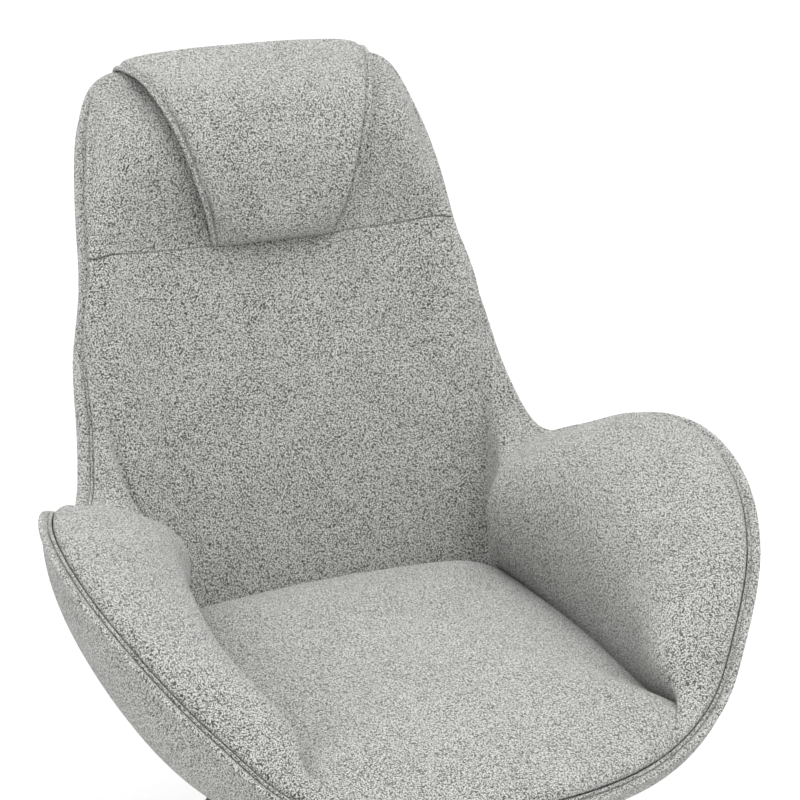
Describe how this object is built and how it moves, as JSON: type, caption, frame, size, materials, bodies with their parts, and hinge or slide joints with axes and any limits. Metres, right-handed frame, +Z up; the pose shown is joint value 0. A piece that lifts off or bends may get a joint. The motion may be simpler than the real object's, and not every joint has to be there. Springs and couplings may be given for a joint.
{
  "type": "upholstered rocking chair",
  "caption": "High-back bucket lounge chair with flared arms and a draped head pillow, on a steel frame with curved wooden runners for rocking.",
  "frame": {"origin": "on the floor, under the middle of the chair's overall box", "axes": "+Z up, the chair faces -Y, X across the chair"},
  "size_m": [0.7864, 0.8295, 1.0378],
  "materials": {
    "upholstery": "boucle weave, light warm grey with dark flecks",
    "welt": "same boucle, rolled over a thin cord",
    "shell_ply": "moulded plywood, raw",
    "board_ply": "plywood, raw",
    "dust_cloth": "thin spunbond cloth",
    "frame_steel": "fine black powder coat",
    "ash_wood": "clear oiled ash",
    "zinc_steel": "zinc plated",
    "bolt_steel": "black oxide"
  },
  "bodies": {
    "root": {"outer_cover": "upholstery", "back_pad_lower": "upholstery", "back_pad_upper": "upholstery", "arm_pad_left": "upholstery", "arm_pad_right": "upholstery", "seat_pad": "upholstery", "head_pillow": "upholstery", "rim_welt": "welt", "shell": "shell_ply", "seat_board": "board_ply", "bottom_cloth": "dust_cloth", "cross_bar_front": "frame_steel", "cross_bar_rear": "frame_steel", "leg_front_left": "frame_steel", "leg_front_right": "frame_steel", "leg_rear_left": "frame_steel", "leg_rear_right": "frame_steel", "foot_plate_front_left": "frame_steel", "foot_plate_front_right": "frame_steel", "foot_plate_rear_left": "frame_steel", "foot_plate_rear_right": "frame_steel", "rocker_left": "ash_wood", "rocker_right": "ash_wood", "stretcher_front": "ash_wood", "stretcher_rear": "ash_wood", "tee_nuts": "zinc_steel", "frame_washers": "zinc_steel", "frame_bolts": "bolt_steel", "plate_screws": "bolt_steel"}
  },
  "joints": []
}
